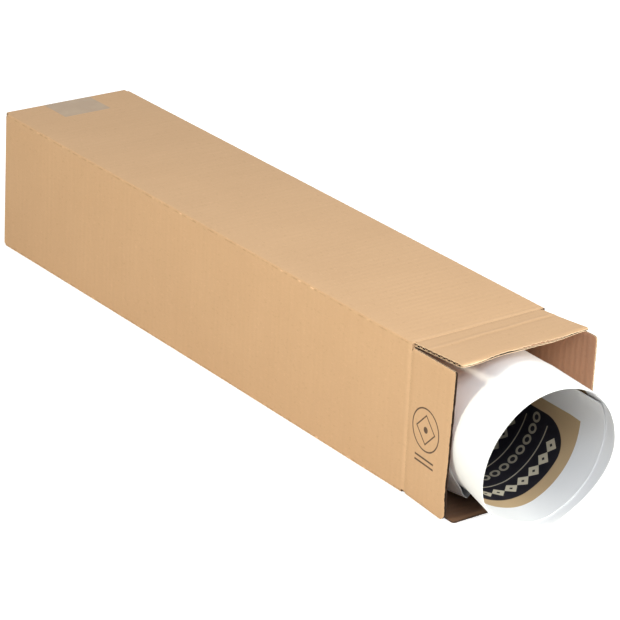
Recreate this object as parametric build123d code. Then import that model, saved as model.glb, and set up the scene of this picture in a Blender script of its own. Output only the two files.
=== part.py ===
from math import cos, radians, sin
import os

from build123d import *

os.makedirs("parts", exist_ok=True)

# A long square mailing carton of single-wall corrugated board lies on one side.
# Its mouth faces -Y with four flaps open, its far end is folded shut and taped,
# and a loosely rolled print stands out of the mouth. +Z is up, +X is to the right
# as one looks into the mouth, and the origin is the centre of the bottom face.

# The carton's inside, and the board that it is folded from
inside_width = 130.0
inside_height = 126.0
inside_length = 615.0
board = 3.0
fold_radius = 2.4
liner = 0.4
medium = 0.4
flute_pitch = 6.3
turn_share = 1 / 6
overrun = 5.0

outer_width = inside_width + 2 * board
outer_height = inside_height + 2 * board
body_length = inside_length + 2 * board
mouth_y = -body_length / 2
closed_y = body_length / 2
inner_end_y = closed_y - 2 * board

# Slots that part the flaps at the four corners
slot_side = 2.7
slot_top = 5.0
slot_bottom = 4.0
slot_depth = 3.5

# Flaps at the mouth: their length, free corners, score and the angle each one stands open
flap_length = 60.0
top_flap_corner = 1.5
bottom_flap_corner = 4.0
right_flap_corner = 3.0
left_flap_top_corner = 2.0
left_flap_bottom_corner = 10.0
crease_gap = 0.6
score_width = 1.2
second_score_place = 16.0
second_score_width = 3.0
second_score_depth = 0.25
top_flap_angle = 3.5
left_flap_angle = 4.0
right_flap_angle = 8.7

# Closed end: seams between the folded flaps, and the tab that joins the blank to itself
outer_seam = 2.0
inner_seam = 6.0
tab_width = 32.0
tab_board = 2.4
tab_end_slope = 9.0
tab_setback = 14.0

# Strip of tape over the closed end
tape_width = 50.0
tape_leg = 38.0
tape_thickness = 0.2

# Rolled print: the sheet, how far apart its turns lie, and where its inner edge is
paper = 0.4
turn_pitch = 1.3
half_turns = 5
sheet_length = 610.0
inner_edge_angle = 52.0
inner_edge_trim = 18.0
roll_rest_gap = 0.3
roll_side_gap = 0.3
roll_slack = 2.8
roll_reach = 120.5
roll_flare = 1.7
roll_lean = 7.0
rim_lean = 9.0
rim_height = 0.8
roll_radius = min(inside_width, inside_height) / 2 - roll_slack

# How far the sheet's front edge stands back at each half turn, from the inner edge out
edge_setbacks = [11.0, 21.5, 1.5, 1.5, 28.0, 66.0]


def front_plane(y):
    """Plane across the carton at y, seen from the mouth: its x is +X and its y is +Z."""
    return Plane(origin=(0, y, 0), x_dir=(1, 0, 0), z_dir=(0, -1, 0))


def block(low, high):
    """Box between two corners."""
    sizes = [b - a for a, b in zip(low, high)]
    middle = [(a + b) / 2 for a, b in zip(low, high)]
    return Pos(*middle) * Box(*sizes)


def tape_section(inset):
    """Closed outline in Y and Z around the closed end, inset from the outer faces."""
    leg_y = closed_y - tape_leg
    end_y = closed_y - inset
    low = inset
    high = outer_height - inset
    bend = fold_radius - inset
    turn = bend * (1 - cos(radians(45)))
    top = Line((leg_y, high), (end_y - bend, high))
    top_bend = ThreePointArc((end_y - bend, high), (end_y - turn, high - turn), (end_y, high - bend))
    end = Line((end_y, high - bend), (end_y, low + bend))
    low_bend = ThreePointArc((end_y, low + bend), (end_y - turn, low + turn), (end_y - bend, low))
    bottom = Line((end_y - bend, low), (leg_y, low))
    back = Line((leg_y, low), (leg_y, high))
    return make_face(Curve() + [top, top_bend, end, low_bend, bottom, back])


def closing_tape():
    """One strip of tape from the top, over the closed end and under the bottom."""
    band = tape_section(0) - tape_section(tape_thickness)
    return extrude(Plane.YZ * band, amount=tape_width / 2, both=True)


def channel(middle, wide_z, narrow_z):
    """One gap of the fluted core: wide at its liner, and round where the core turns."""
    wide = (flute_pitch - 2 * medium) / 2
    narrow = medium
    flank_z = narrow_z + (wide_z - narrow_z) * turn_share
    flank = narrow + (wide - narrow) * turn_share
    left = [(middle - flank, flank_z), (middle - wide, wide_z)]
    right = [(middle + wide, wide_z), (middle + flank, flank_z)]
    sides = Polyline(*left, *right)
    turn = ThreePointArc((middle + flank, flank_z), (middle, narrow_z), (middle - flank, flank_z))
    return make_face(Curve() + [*sides.edges(), turn])


def core_section(start, length):
    """Every gap of the core along a board that lies under y from start to start + length."""
    step = flute_pitch / 2
    high = -liner
    low = liner - board
    gaps = []
    for row in range(int((length - flute_pitch) / step)):
        middle = start + flute_pitch / 2 + (row + 0.5) * step
        if row % 2:
            gaps.append(channel(middle, high, low + medium))
        else:
            gaps.append(channel(middle, low, high - medium))
    return Sketch() + gaps


def tube_body():
    """The folded blank without its mouth flaps: four panels, the tab and the closed end."""
    shell = block(
        (-outer_width / 2, mouth_y, 0),
        (outer_width / 2, closed_y - board, outer_height),
    )
    shell = fillet(shell.edges().filter_by(Axis.Y), fold_radius)
    side_folds = shell.edges().filter_by(Axis.Z).group_by(Axis.Y)[-1]
    shell = fillet(side_folds, fold_radius)
    shell -= block(
        (-inside_width / 2, mouth_y - overrun, board),
        (inside_width / 2, inner_end_y, board + inside_height),
    )
    # the two inner flaps leave a narrow seam between them
    shell -= block(
        (-inner_seam / 2, inner_end_y - overrun, board),
        (inner_seam / 2, closed_y, board + inside_height),
    )
    # the two outer flaps fold over them from the top and the bottom
    flap_half = outer_width / 2 - slot_side
    outer_flaps = block((-flap_half, closed_y - board, 0), (flap_half, closed_y, outer_height))
    outer_flaps = fillet(outer_flaps.edges().filter_by(Axis.X).group_by(Axis.Y)[-1], fold_radius)
    outer_flaps -= block(
        (-outer_width, closed_y - board - overrun, (outer_height - outer_seam) / 2),
        (outer_width, closed_y + overrun, (outer_height + outer_seam) / 2),
    )
    # their core shows at their side edges, as on the mouth flaps
    closed_length = (outer_height - outer_seam) / 2 - board
    core = extrude(Plane.YZ * core_section(0, closed_length), amount=flap_half, both=True)
    upright = Pos(0, closed_y, outer_height - board) * Rot(-90, 0, 0) * core
    outer_flaps -= upright
    outer_flaps -= mirror(upright, about=Plane.XY.offset(outer_height / 2))
    body = shell + outer_flaps
    # the tab stands up inside the right panel and is glued to it
    tab_x = inside_width / 2 - tab_board
    tab_low = mouth_y + tab_setback
    tab_high = inner_end_y - tab_setback
    outline = Polyline(
        (tab_low, board),
        (tab_low + tab_end_slope, board + tab_width),
        (tab_high - tab_end_slope, board + tab_width),
        (tab_high, board),
        close=True,
    )
    body += extrude(Plane.YZ.offset(tab_x) * make_face(outline), amount=tab_board)
    # slots run a little way into the body at its four corners
    for side in (-1, 1):
        inner_x = side * (outer_width / 2 - slot_side)
        far_x = side * (outer_width / 2 + overrun)
        slot_x = sorted((inner_x, far_x))
        notch_y = (mouth_y - overrun, mouth_y + slot_depth)
        for slot_z in ((outer_height - board, outer_height + overrun), (-overrun, board)):
            low, high = zip(slot_x, notch_y, slot_z)
            body -= block(low, high)
    return body - closing_tape()


def flap(low_side, high_side, low_corner, high_corner, second_score):
    """A flap with its hinge line on the X axis, its outer face up, and its free edge at -Y."""
    root = -crease_gap / 2
    tip = root - flap_length
    score = [(root - score_width, -board), (root, score_width - board)]
    outline = Polyline((root, 0), (tip, 0), (tip, -board), *score, close=True)
    section = make_face(outline) - core_section(tip, flap_length)
    if second_score:
        groove = Polyline(
            (root - second_score_place - second_score_width / 2, 0),
            (root - second_score_place, -second_score_depth),
            (root - second_score_place + second_score_width / 2, 0),
            close=True,
        )
        section -= make_face(groove)
    sheet = extrude(Plane.YZ.offset(low_side) * section, amount=high_side - low_side)
    # the two free corners are rounded, each by its own radius
    middle = (low_side + high_side) / 2
    plan = Pos(middle, root) * Rectangle(high_side - low_side, 2 * flap_length)
    plan = fillet(plan.vertices().group_by(Axis.X)[0].sort_by(Axis.Y)[0], low_corner)
    plan = fillet(plan.vertices().group_by(Axis.X)[-1].sort_by(Axis.Y)[0], high_corner)
    return sheet & extrude(Plane.XY.offset(-board - overrun) * plan, amount=board + 2 * overrun)


def mouth_flaps():
    """The four open flaps, each hung from its own crease at the mouth."""
    half_width = outer_width / 2
    hinge_y = mouth_y - crease_gap / 2
    middle = outer_height / 2
    across = half_width - slot_side
    top = flap(-across, across, top_flap_corner, top_flap_corner, True)
    bottom = Rot(0, 180, 0) * flap(-across, across, bottom_flap_corner, bottom_flap_corner, False)
    # a side flap is made lying, then stood up about the length of the carton
    left_low, left_high = slot_bottom - middle, middle - slot_top
    left = flap(left_low, left_high, left_flap_bottom_corner, left_flap_top_corner, False)
    left = Rot(0, 0, -left_flap_angle) * Rot(0, -90, 0) * left
    right = flap(-left_high, -left_low, right_flap_corner, right_flap_corner, False)
    right = Rot(0, 0, right_flap_angle) * Rot(0, 90, 0) * right
    return {
        "top_flap": Pos(0, hinge_y, outer_height) * Rot(-top_flap_angle, 0, 0) * top,
        "bottom_flap": Pos(0, hinge_y, 0) * bottom,
        "left_flap": Pos(-half_width, hinge_y, middle) * left,
        "right_flap": Pos(half_width, hinge_y, middle) * right,
    }


def roll_stations():
    """Places along the roll: y, the sideways shift, the outer radius and the lowest height."""
    seat = board + roll_rest_gap
    shift = roll_radius + roll_side_gap - inside_width / 2
    rim_y = mouth_y - roll_reach
    tip_y = mouth_y - flap_length - crease_gap
    past = (tip_y - mouth_y) / (rim_y - mouth_y)
    return [
        (mouth_y, shift, roll_radius, seat),
        (tip_y, shift - past * roll_lean, roll_radius + past * roll_flare, seat),
        (rim_y, shift - rim_lean, roll_radius + roll_flare, rim_height),
    ]


def half_turn_place(number, station):
    """Centre and outer radius of one half turn, counted from the inside, at one station."""
    shift, radius, low = station[1:]
    own_radius = radius - (half_turns - 1 - number) * turn_pitch / 2
    out = Vector(cos(radians(inner_edge_angle)), sin(radians(inner_edge_angle)))
    centre = Vector(shift, low + radius)
    if number % 2:
        centre += out * (turn_pitch / 2)
    return centre, own_radius, out


def half_turn_section(number, station):
    """Band of paper through one half turn, drawn across the roll."""
    centre, radius, out = half_turn_place(number, station)
    start = out if number % 2 == 0 else -out
    side = Vector(start.Y, -start.X)
    inner = radius - paper
    # the innermost half turn begins at the sheet's own edge, past where the turns join
    trim = radians(inner_edge_trim) if number == 0 else 0
    begin = start * cos(trim) + side * sin(trim)
    outer_arc = ThreePointArc(centre + begin * radius, centre + side * radius, centre - start * radius)
    inner_arc = ThreePointArc(centre + begin * inner, centre + side * inner, centre - start * inner)
    ends = [
        Line(centre + begin * radius, centre + begin * inner),
        Line(centre - start * radius, centre - start * inner),
    ]
    return front_plane(station[0]) * make_face(Curve() + [outer_arc, inner_arc, *ends])


def half_turn(number):
    """One half turn of the sheet, its two ends cut where the sheet's edges run."""
    stations = roll_stations()
    sections = [half_turn_section(number, station) for station in stations]
    length_inside = sheet_length - roll_reach + max(edge_setbacks)
    band = extrude(sections[0], amount=length_inside, dir=(0, 1, 0))
    band += loft(sections, ruled=True)
    centre, radius, out = half_turn_place(number, stations[-1])
    start = out if number % 2 == 0 else -out
    across = Vector(start.Y, 0, -start.X)
    along = Vector(start.X, 0, start.Y)
    middle = Vector(centre.X, mouth_y - roll_reach, centre.Y)
    first = middle + along * radius + Vector(0, edge_setbacks[number], 0)
    last = middle - along * radius + Vector(0, edge_setbacks[number + 1], 0)
    slope = (last - first).normalized()
    normal = across.cross(slope)
    if normal.Y < 0:
        normal = -normal
    front = Plane(origin=first, x_dir=across, z_dir=normal)
    rear = Plane(origin=first + Vector(0, sheet_length, 0), x_dir=across, z_dir=normal)
    band = split(band, bisect_by=front, keep=Keep.TOP)
    return split(band, bisect_by=rear, keep=Keep.BOTTOM)


def rolled_print():
    """The rolled sheet: a spiral of half turns whose edges stand back from turn to turn."""
    roll = half_turn(0)
    for number in range(1, half_turns):
        roll = roll + half_turn(number)
    return roll


pieces = {"tube_body": tube_body(), "closing_tape": closing_tape(), "rolled_print": rolled_print()}
pieces.update(mouth_flaps())
for name, piece in pieces.items():
    export_step(piece, f"parts/{name}.step")
    box = piece.bounding_box()
    print(name, len(piece.solids()), round(piece.volume), box.min, box.max)
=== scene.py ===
import math

import bpy
import numpy as np
from mathutils import Matrix, Vector


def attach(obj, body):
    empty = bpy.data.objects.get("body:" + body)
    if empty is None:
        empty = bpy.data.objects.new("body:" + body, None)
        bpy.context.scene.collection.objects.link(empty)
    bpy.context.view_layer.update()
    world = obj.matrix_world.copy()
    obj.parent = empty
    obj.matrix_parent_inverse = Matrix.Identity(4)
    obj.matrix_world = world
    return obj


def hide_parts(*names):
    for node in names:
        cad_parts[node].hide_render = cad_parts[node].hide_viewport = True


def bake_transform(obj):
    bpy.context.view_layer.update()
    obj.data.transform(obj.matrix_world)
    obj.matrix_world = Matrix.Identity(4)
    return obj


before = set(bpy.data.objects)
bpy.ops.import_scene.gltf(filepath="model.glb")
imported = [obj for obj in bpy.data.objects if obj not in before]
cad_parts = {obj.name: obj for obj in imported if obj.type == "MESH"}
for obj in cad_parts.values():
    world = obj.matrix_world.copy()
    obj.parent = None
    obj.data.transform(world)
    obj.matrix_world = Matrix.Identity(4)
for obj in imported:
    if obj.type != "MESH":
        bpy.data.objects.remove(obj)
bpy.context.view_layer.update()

# Camera: a long lens a little above the carton, turned 37 degrees off its
# length, and rolled by the few degrees that the photograph was tilted.
azimuth, elevation, roll_turn = (math.radians(a) for a in (-37.1266, 23.1732, 2.4639))
aim = Vector((-0.00823, -0.09698, 0.068))
camera_distance = 2.50976
sensor_width, lens_length = 36.0, 170.623
nearest_seen, farthest_seen = 0.05, 50.0

back = Vector((
    math.sin(azimuth) * math.cos(elevation),
    -math.cos(azimuth) * math.cos(elevation),
    math.sin(elevation),
))
level = Vector((math.cos(azimuth), math.sin(azimuth), 0.0))
upright = back.cross(level)
camera_right = math.cos(roll_turn) * level + math.sin(roll_turn) * upright
camera_up = math.cos(roll_turn) * upright - math.sin(roll_turn) * level

camera_data = bpy.data.cameras.new("camera")
camera_data.sensor_width = sensor_width
camera_data.lens = lens_length
camera_data.clip_start = nearest_seen
camera_data.clip_end = farthest_seen
camera = bpy.data.objects.new("camera", camera_data)
camera.matrix_world = Matrix.Translation(aim + back * camera_distance) @ Matrix(
    (camera_right, camera_up, back)
).transposed().to_4x4()
bpy.context.collection.objects.link(camera)
bpy.context.scene.camera = camera
bpy.context.scene.view_settings.view_transform = "Standard"

# Carton sleeve: four panels of single-wall corrugated board, scored and folded
# round, with the joining tab glued inside the right panel. Its flutes run round
# the girth, so each one crosses the four long folds and dents them a little.
MM = 0.001
width, height = 136.0, 132.0
board, liner = 3.0, 0.4
flute_pitch = 6.3
fold_radius, inner_radius = 1.2, 0.35
mouth_y, closed_y = -310.5, 310.5
sleeve_end = closed_y - 5.6
slot_side, slot_depth, top_notch = 2.7, 4.5, 0.5
slot_zone = 12.0

draw = np.random.default_rng(7)
wave_count = 7


def ripple(u, v, size, strength):
    """Smooth uneven height over u and v: a sum of sine waves of about the given size in
    random directions and phases, scaled to the given strength."""
    total = np.zeros(np.broadcast(u, v).shape)
    for _ in range(wave_count):
        turn, phase = draw.uniform(0, 2 * np.pi, 2)
        length = size * draw.uniform(0.6, 1.7)
        total = total + np.sin(2 * np.pi * (u * np.cos(turn) + v * np.sin(turn)) / length + phase)
    return total * strength / np.sqrt(wave_count)


def bump(x, middle, spread):
    """Bell curve: e to the power of minus ((x - middle) / spread) squared."""
    return np.exp(-(((x - middle) / spread) ** 2))


def ramp(value, start, end):
    """Even slope: 0 at start, 1 at end, and level beyond them. The end may be the lower."""
    return np.clip((value - start) / (end - start), 0, 1)


def flutes(place):
    """Sine of the place along the board, with one wave for each flute."""
    return np.sin(2 * np.pi * place / flute_pitch)


def dense_ends(length, near, across):
    """Places from 0 to length: close together near both ends, then evenly across."""
    ends = np.array(near, float)
    inner = np.linspace(ends[-1], length - ends[-1], across)
    return np.concatenate([ends[:-1], inner, length - ends[-2::-1]])


def slab(face, underside, closed=False, finish=(0, 0, 0), marks=None):
    """Closed sheet between two grids of points (rows, columns, 3): the face, the underside
    and the strips between their rims. With closed, the columns run round a loop. The grids
    may differ in rows there. finish gives the material of face, underside, rim and tip rim."""
    points = np.concatenate([face.reshape(-1, 3), underside.reshape(-1, 3)])
    upper = np.arange(face.shape[0] * face.shape[1]).reshape(face.shape[:2])
    lower = np.arange(underside.shape[0] * underside.shape[1]).reshape(underside.shape[:2])
    lower = lower + upper.size
    if closed:
        upper = np.concatenate([upper, upper[:, :1]], 1)
        lower = np.concatenate([lower, lower[:, :1]], 1)

    def quads(a, b, c, d):
        """Faces of four corners, from four grids of point numbers."""
        return np.stack([a.ravel(), b.ravel(), c.ravel(), d.ravel()], 1)

    top = quads(upper[:-1, :-1], upper[1:, :-1], upper[1:, 1:], upper[:-1, 1:])
    low = quads(lower[:-1, :-1], lower[:-1, 1:], lower[1:, 1:], lower[1:, :-1])
    rims = [quads(upper[0, :-1], upper[0, 1:], lower[0, 1:], lower[0, :-1])]
    if not closed:
        rims.append(quads(upper[1:, 0], upper[:-1, 0], lower[:-1, 0], lower[1:, 0]))
        rims.append(quads(upper[:-1, -1], upper[1:, -1], lower[1:, -1], lower[:-1, -1]))
    rim = np.concatenate(rims)
    tip_rim = quads(upper[-1, 1:], upper[-1, :-1], lower[-1, :-1], lower[-1, 1:])
    faces = np.concatenate([top, low, rim, tip_rim])
    number = np.repeat((*finish, finish[2])[:4], [len(top), len(low), len(rim), len(tip_rim)])
    a, b, c, d = (points[faces[:, k]] for k in range(4))
    volume = (a * np.cross(b, c) + a * np.cross(c, d)).sum()
    if volume < 0:
        faces = faces[:, ::-1]
    values = {}
    for key, (on_face, on_underside) in (marks or {}).items():
        values[key] = np.concatenate([
            np.broadcast_to(on_face, face.shape[:2]).ravel(),
            np.broadcast_to(on_underside, underside.shape[:2]).ravel(),
        ])
    return points, faces, number, values


sharp_angle = math.radians(38)


def make_piece(name, shells, materials):
    """One object from closed slabs, in millimetres, with their marks as point attributes."""
    starts = np.cumsum([0] + [len(shell[0]) for shell in shells])
    points = np.concatenate([shell[0] for shell in shells]) * MM
    faces = np.concatenate([shell[1] + start for shell, start in zip(shells, starts)])
    number = np.concatenate([shell[2] for shell in shells])
    mesh = bpy.data.meshes.new(name)
    mesh.vertices.add(len(points))
    mesh.vertices.foreach_set("co", points.ravel())
    mesh.loops.add(faces.size)
    mesh.loops.foreach_set("vertex_index", faces.ravel().astype(np.int32))
    mesh.polygons.add(len(faces))
    mesh.polygons.foreach_set("loop_start", np.arange(len(faces), dtype=np.int32) * 4)
    mesh.polygons.foreach_set("material_index", number.astype(np.int32))
    mesh.polygons.foreach_set("use_smooth", np.ones(len(faces), bool))
    mesh.update(calc_edges=True)
    for key in sorted({key for shell in shells for key in shell[3]}):
        values = np.concatenate([shell[3].get(key, np.zeros(len(shell[0]))) for shell in shells])
        mark = mesh.attributes.new(key, "FLOAT", "POINT")
        mark.data.foreach_set("value", values.astype(np.float32))
    for material in materials:
        mesh.materials.append(material)
    mesh.set_sharp_from_angle(angle=sharp_angle)
    piece = bpy.data.objects.new(name, mesh)
    bpy.context.collection.objects.link(piece)
    return piece


def colour(red, green, blue):
    """Linear colour from the 0 to 255 values that a screen shows."""
    def plain(value):
        """The screen's curve undone: a straight foot, and a power of 2.4 above it."""
        value = value / 255
        return value / 12.92 if value <= 0.04045 else ((value + 0.055) / 1.055) ** 2.4
    return (plain(red), plain(green), plain(blue), 1.0)


def new_material(name):
    """A new material, its node tree and its Principled shader."""
    material = bpy.data.materials.new(name)
    material.use_nodes = True
    tree = material.node_tree
    return material, tree, tree.nodes["Principled BSDF"]


def new_group(name, inputs, outputs):
    """A new node group, and its inner sockets: inputs with their usual values, and outputs."""
    group = bpy.data.node_groups.new(name, "ShaderNodeTree")
    for label, usual in inputs.items():
        kind = "NodeSocketColor" if isinstance(usual, tuple) else "NodeSocketFloat"
        socket = group.interface.new_socket(label, in_out="INPUT", socket_type=kind)
        socket.default_value = usual
    for label, kind in outputs.items():
        group.interface.new_socket(label, in_out="OUTPUT", socket_type=kind)
    start = group.nodes.new("NodeGroupInput")
    end = group.nodes.new("NodeGroupOutput")
    return group, start.outputs, end.inputs


def node(tree, kind, values=None, **settings):
    """Node of a kind, with its settings, its plain values and its links from other sockets."""
    made = tree.nodes.new(kind)
    for key, value in settings.items():
        setattr(made, key, value)
    for key, value in (values or {}).items():
        if isinstance(value, bpy.types.NodeSocket):
            tree.links.new(value, made.inputs[key])
        else:
            made.inputs[key].default_value = value
    return made


def math_node(tree, operation, first, second=0.0, third=0.0, clamp=False):
    """Output of one Math node."""
    made = node(tree, "ShaderNodeMath", {0: first, 1: second, 2: third}, operation=operation)
    made.use_clamp = clamp
    return made.outputs[0]


def times(tree, first, second):
    """Node output: the first times the second."""
    return math_node(tree, "MULTIPLY", first, second)


def plus(tree, first, second):
    """Node output: the first plus the second."""
    return math_node(tree, "ADD", first, second)


def less(tree, first, second):
    """Node output: the first less the second."""
    return math_node(tree, "SUBTRACT", first, second)


def scaled(tree, value, factor, offset, clamp=False):
    """Node output: the value times a factor, plus an offset."""
    return math_node(tree, "MULTIPLY_ADD", value, factor, offset, clamp)


def mix_colour(tree, share, first, second, blend="MIX"):
    """Output of one Mix node for colours."""
    made = node(tree, "ShaderNodeMix", data_type="RGBA", blend_type=blend)
    for socket, value in (("Factor_Float", share), ("A_Color", first), ("B_Color", second)):
        target = next(s for s in made.inputs if s.identifier == socket)
        if isinstance(value, bpy.types.NodeSocket):
            tree.links.new(value, target)
        else:
            target.default_value = value
    return next(s for s in made.outputs if s.identifier == "Result_Color")


def object_place(tree):
    """Node output: the place on the piece, in metres."""
    return tree.nodes.new("ShaderNodeTexCoord").outputs["Object"]


def mesh_mark(tree, name):
    """Node output: a mark that the mesh carries at its points."""
    return node(tree, "ShaderNodeAttribute", attribute_name=name).outputs["Fac"]


def noise(tree, place, scale, detail, roughness=0.5, turn=None):
    """Node output: cloudy noise of so many cells a metre. With three scales the place is
    stretched along the three axes first, and turned if a turn is given."""
    if isinstance(scale, tuple):
        stretch = {"Vector": place, "Scale": scale}
        if turn:
            stretch["Rotation"] = turn
        place, scale = node(tree, "ShaderNodeMapping", stretch).outputs[0], 1.0
    values = {"Vector": place, "Scale": scale, "Detail": detail, "Roughness": roughness}
    return node(tree, "ShaderNodeTexNoise", values).outputs["Fac"]


def add_relief(tree, shader, heights, strength, depth):
    """Bump node from a height to the shader's normal, with its depth in millimetres."""
    values = {"Strength": strength, "Distance": depth * MM, "Height": heights}
    tree.links.new(node(tree, "ShaderNodeBump", values).outputs[0], shader.inputs["Normal"])


def board_group():
    """Looks of corrugated board: a liner of mixed fibres over flutes that run across the
    carton's length. Height adds the washboard of the flutes, long fibres and fine felt.
    The colour takes slow mottling, streaks across the length, flecks and wear marks, with painted
    shade in stripes along the flutes' washboard and in creases, and painted highlights carried by the
    wear mark."""
    group, given, result = new_group(
        "corrugated_board",
        {"Liner": (0.7, 0.45, 0.26, 1), "Fibre": 1.0, "Washboard": 1.0},
        {"Colour": "NodeSocketColor", "Roughness": "NodeSocketFloat", "Height": "NodeSocketFloat"},
    )
    place = object_place(group)
    along = node(group, "ShaderNodeSeparateXYZ", {0: place}).outputs["Y"]
    # flutes: one wave each pitch along the carton
    wave = math_node(group, "SINE", times(group, along, 2 * math.pi / (flute_pitch * MM)))
    # slow mottling, streaks across the length, long fibres, flecks and fine felt
    mottle = noise(group, place, 16.0, 3.0)
    streak = noise(group, place, (18, 260, 18), 2.0)
    fibre = noise(group, place, (900, 190, 900), 3.0, roughness=0.7, turn=(0.3, 0.2, 0.4))
    fleck = noise(group, place, (520, 260, 520), 1.0)
    felt = noise(group, place, 1400.0, 2.0)

    def centred(value, strength):
        """The noise's rise and fall about its middle, at a strength."""
        return times(group, less(group, value, 0.5), strength)

    shade = plus(group, centred(mottle, 0.10), centred(streak, 0.06))
    fine = times(group, plus(group, centred(fibre, 0.13), centred(felt, 0.08)), given["Fibre"])
    # painted shade and light in stripes along the flutes' washboard, stronger where the mottling is
    uneven = times(group, times(group, mottle, mottle), 0.05)
    washboard_shade = times(group, times(group, wave, uneven), given["Washboard"])
    shade = plus(group, plus(group, shade, fine), washboard_shade)
    # dark and light flecks of other fibres
    dark = math_node(group, "GREATER_THAN", fleck, 0.69)
    light = math_node(group, "LESS_THAN", fleck, 0.31)
    shade = plus(group, shade, times(group, light, 0.05))
    shade = less(group, shade, times(group, dark, 0.07))
    # marks drawn into the mesh: worn and crushed places are lighter, the same mark carries painted
    # highlights, and creases are darker with painted shade
    scuff = scaled(group, noise(group, place, 240.0, 2.0), 1.6, 0.2)
    scuff_and_highlight = times(group, mesh_mark(group, "worn"), scuff)
    shade = plus(group, shade, times(group, scuff_and_highlight, 0.2))
    shade = less(group, shade, times(group, mesh_mark(group, "crease"), 0.3))
    tint = node(group, "ShaderNodeCombineColor", {
        0: scaled(group, shade, 0.85, 1.0),
        1: plus(group, shade, 1.0),
        2: scaled(group, shade, 1.2, 1.0),
    }).outputs[0]
    group.links.new(mix_colour(group, 1.0, given["Liner"], tint, "MULTIPLY"), result["Colour"])
    group.links.new(scaled(group, fibre, 0.2, 0.66), result["Roughness"])
    relief = times(group, times(group, wave, 0.35), given["Washboard"])
    for texture, share in ((fibre, 0.12), (felt, 0.06), (streak, 0.05)):
        relief = plus(group, relief, times(group, texture, share))
    group.links.new(relief, result["Height"])
    return group


board_looks = board_group()


def board_material(name, liner_colour, fibre, washboard, relief):
    """Board of one liner colour, dull and slightly soft, with its relief in millimetres."""
    material, tree, shader = new_material(name)
    looks = node(
        tree, "ShaderNodeGroup", {"Liner": liner_colour, "Fibre": fibre, "Washboard": washboard},
        node_tree=board_looks,
    )
    tree.links.new(looks.outputs["Colour"], shader.inputs["Base Color"])
    tree.links.new(looks.outputs["Roughness"], shader.inputs["Roughness"])
    add_relief(tree, shader, looks.outputs["Height"], 1.0, relief)
    shader.inputs["Specular IOR Level"].default_value = 0.28
    shader.inputs["Sheen Weight"].default_value = 0.06
    shader.inputs["Sheen Roughness"].default_value = 0.6
    return material


outer_liner = board_material("outer_liner", colour(206, 167, 128), 1.0, 0.4, 0.14)
inner_liner = board_material("inner_liner", colour(184, 138, 108), 1.2, 1.3, 0.18)
fluted_core = board_material("fluted_core", colour(176, 132, 104), 1.3, 0.0, 0.15)
# pale cut edges: partly the cut fibre's own colour and partly painted highlight
cut_edge_and_highlight = board_material("cut_edge_and_highlight", colour(236, 204, 168), 1.0, 0.0, 0.15)
# the bottom flap's inner liner and cut rims: a darker copy of the inner liner, painted shade where it
# lies under the roll and the left flap
painted_shade_liner = board_material("bottom_flap_painted_shade_liner", colour(106, 76, 54), 1.2, 1.3, 0.18)
# dark brown that paints the shade inside the flutes' hollows, on faces that stand for the board's open
# cut ends and for the liners' sides next to the core
hollow_flute_shade = board_material("hollow_flute_shade", colour(70, 48, 34), 1.0, 0.0, 0.15)
board_finishes = [outer_liner, inner_liner, fluted_core, cut_edge_and_highlight, hollow_flute_shade]
OUTER, INNER, CORE, CUT, HOLLOW_SHADE = range(5)

fold_steps, panel_columns = 8, 9
near_fold = (0.0, 0.35, 0.7, 1.05, 1.5, 2.1, 3.0, 4.2, 6.0)


def girth(full_width, full_height, radius):
    """Loop round a rounded rectangle: x, z, outward direction, distance to the nearest fold
    and panel (0 top, 1 right, 2 bottom, 3 left). Straight runs are dense near the folds."""
    half_w, half_h = full_width / 2, full_height / 2
    corners = [
        (half_w, half_h, 90), (half_w, -half_h, 0),
        (-half_w, -half_h, -90), (-half_w, half_h, -180),
    ]
    rows = []
    for panel, (x, z, start) in enumerate(corners):
        length = (full_width if panel % 2 == 0 else full_height) - 2 * radius
        turn = np.radians(start)
        out = np.array([np.cos(turn), np.sin(turn)])
        run = np.array([out[1], -out[0]])
        centre = np.array([x - np.sign(x) * radius, z - np.sign(z) * radius])
        first = centre - run * length + out * radius
        for place in dense_ends(length, near_fold, panel_columns):
            point = first + run * place
            rows.append((*point, *out, min(place, length - place), panel))
        for step in range(1, fold_steps):
            angle = turn - np.radians(90) * step / fold_steps
            way = np.array([np.cos(angle), np.sin(angle)])
            rows.append((*(centre + way * radius), *way, 0.0, panel + 0.5))
    return np.array(rows)


outer_loop = girth(width, height, fold_radius)
inner_loop = girth(width - 2 * board, height - 2 * board, inner_radius)

lean_top, lean_foot, lean_start = 0.5, 2.2, -60.0


def racked(x, y, z):
    """The far end leans a little to the left, and more so at its foot: x less a lean that
    grows along the carton as the power 1.5 of the place."""
    lean = lean_top + lean_foot * (1 - z / height)
    return x - lean * ramp(y, lean_start, closed_y) ** 1.5


flute_dent, uneven_dent, score_dent, pressed_dent = 0.12, 0.09, 0.12, 0.08
washboard, panel_bulge = 0.012, 0.16
fold_fade, mouth_fade, end_fade, end_level = 12.0, 20.0, 98.0, 38.0


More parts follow.
